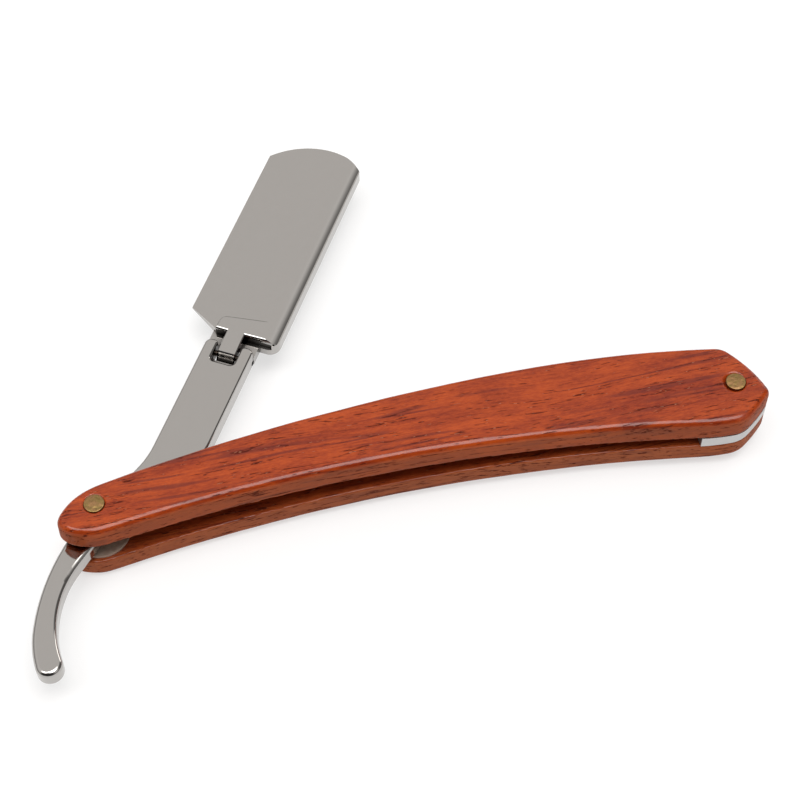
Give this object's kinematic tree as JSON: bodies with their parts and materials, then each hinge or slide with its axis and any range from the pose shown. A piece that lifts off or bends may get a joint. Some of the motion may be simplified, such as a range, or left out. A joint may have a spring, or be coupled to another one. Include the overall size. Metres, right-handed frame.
{
  "type": "straight razor",
  "caption": "Folding straight razor with curved wooden scales, riveted pins, a curled tail and a clamping head for a replaceable blade.",
  "frame": {"origin": "on the pivot axis, at the outer face of the pivot pin's rear head, the plane the razor lies on", "axes": "+Z through the handle from the rear scale to the front scale, +X from the pivot pin to the tail pin, +Y towards the handle's convex edge, where the open arm stands"},
  "size_m": [0.15, 0.118, 0.0159],
  "materials": {
    "scale_wood": "satin lacquer over open-pored reddish hardwood",
    "spacer_metal": "satin, finely brushed",
    "pin_brass": "dull, ground flat",
    "polished_metal": "mirror-polished plating",
    "plain_steel": "plain"
  },
  "bodies": {
    "handle": {"front_scale": "scale_wood", "rear_scale": "scale_wood", "tail_spacer": "spacer_metal", "pivot_pin": "pin_brass", "tail_pin": "pin_brass", "front_washer": "spacer_metal", "rear_washer": "spacer_metal"},
    "arm": {"blade_arm": "polished_metal", "jaw_hinge_pin": "plain_steel", "jaw_spring": "plain_steel", "blade_studs": "plain_steel"},
    "jaw": {"front_jaw": "polished_metal"}
  },
  "joints": [
    {"name": "arm_pivot", "type": "hinge", "parent": "handle", "child": "arm", "pos_m": [0, 0, 0.00797], "axis": [0, 0, 1], "range_deg": [-26, 296]},
    {"name": "jaw_clamp", "type": "hinge", "parent": "arm", "child": "jaw", "pos_m": [0.03152, 0.03478, 0.00707], "axis": [0.848, -0.5299, 0], "range_deg": [0, 10], "stiffness_Nm_per_rad": 0.12, "springref_deg": -22.92, "deforming": ["jaw_spring"]}
  ]
}
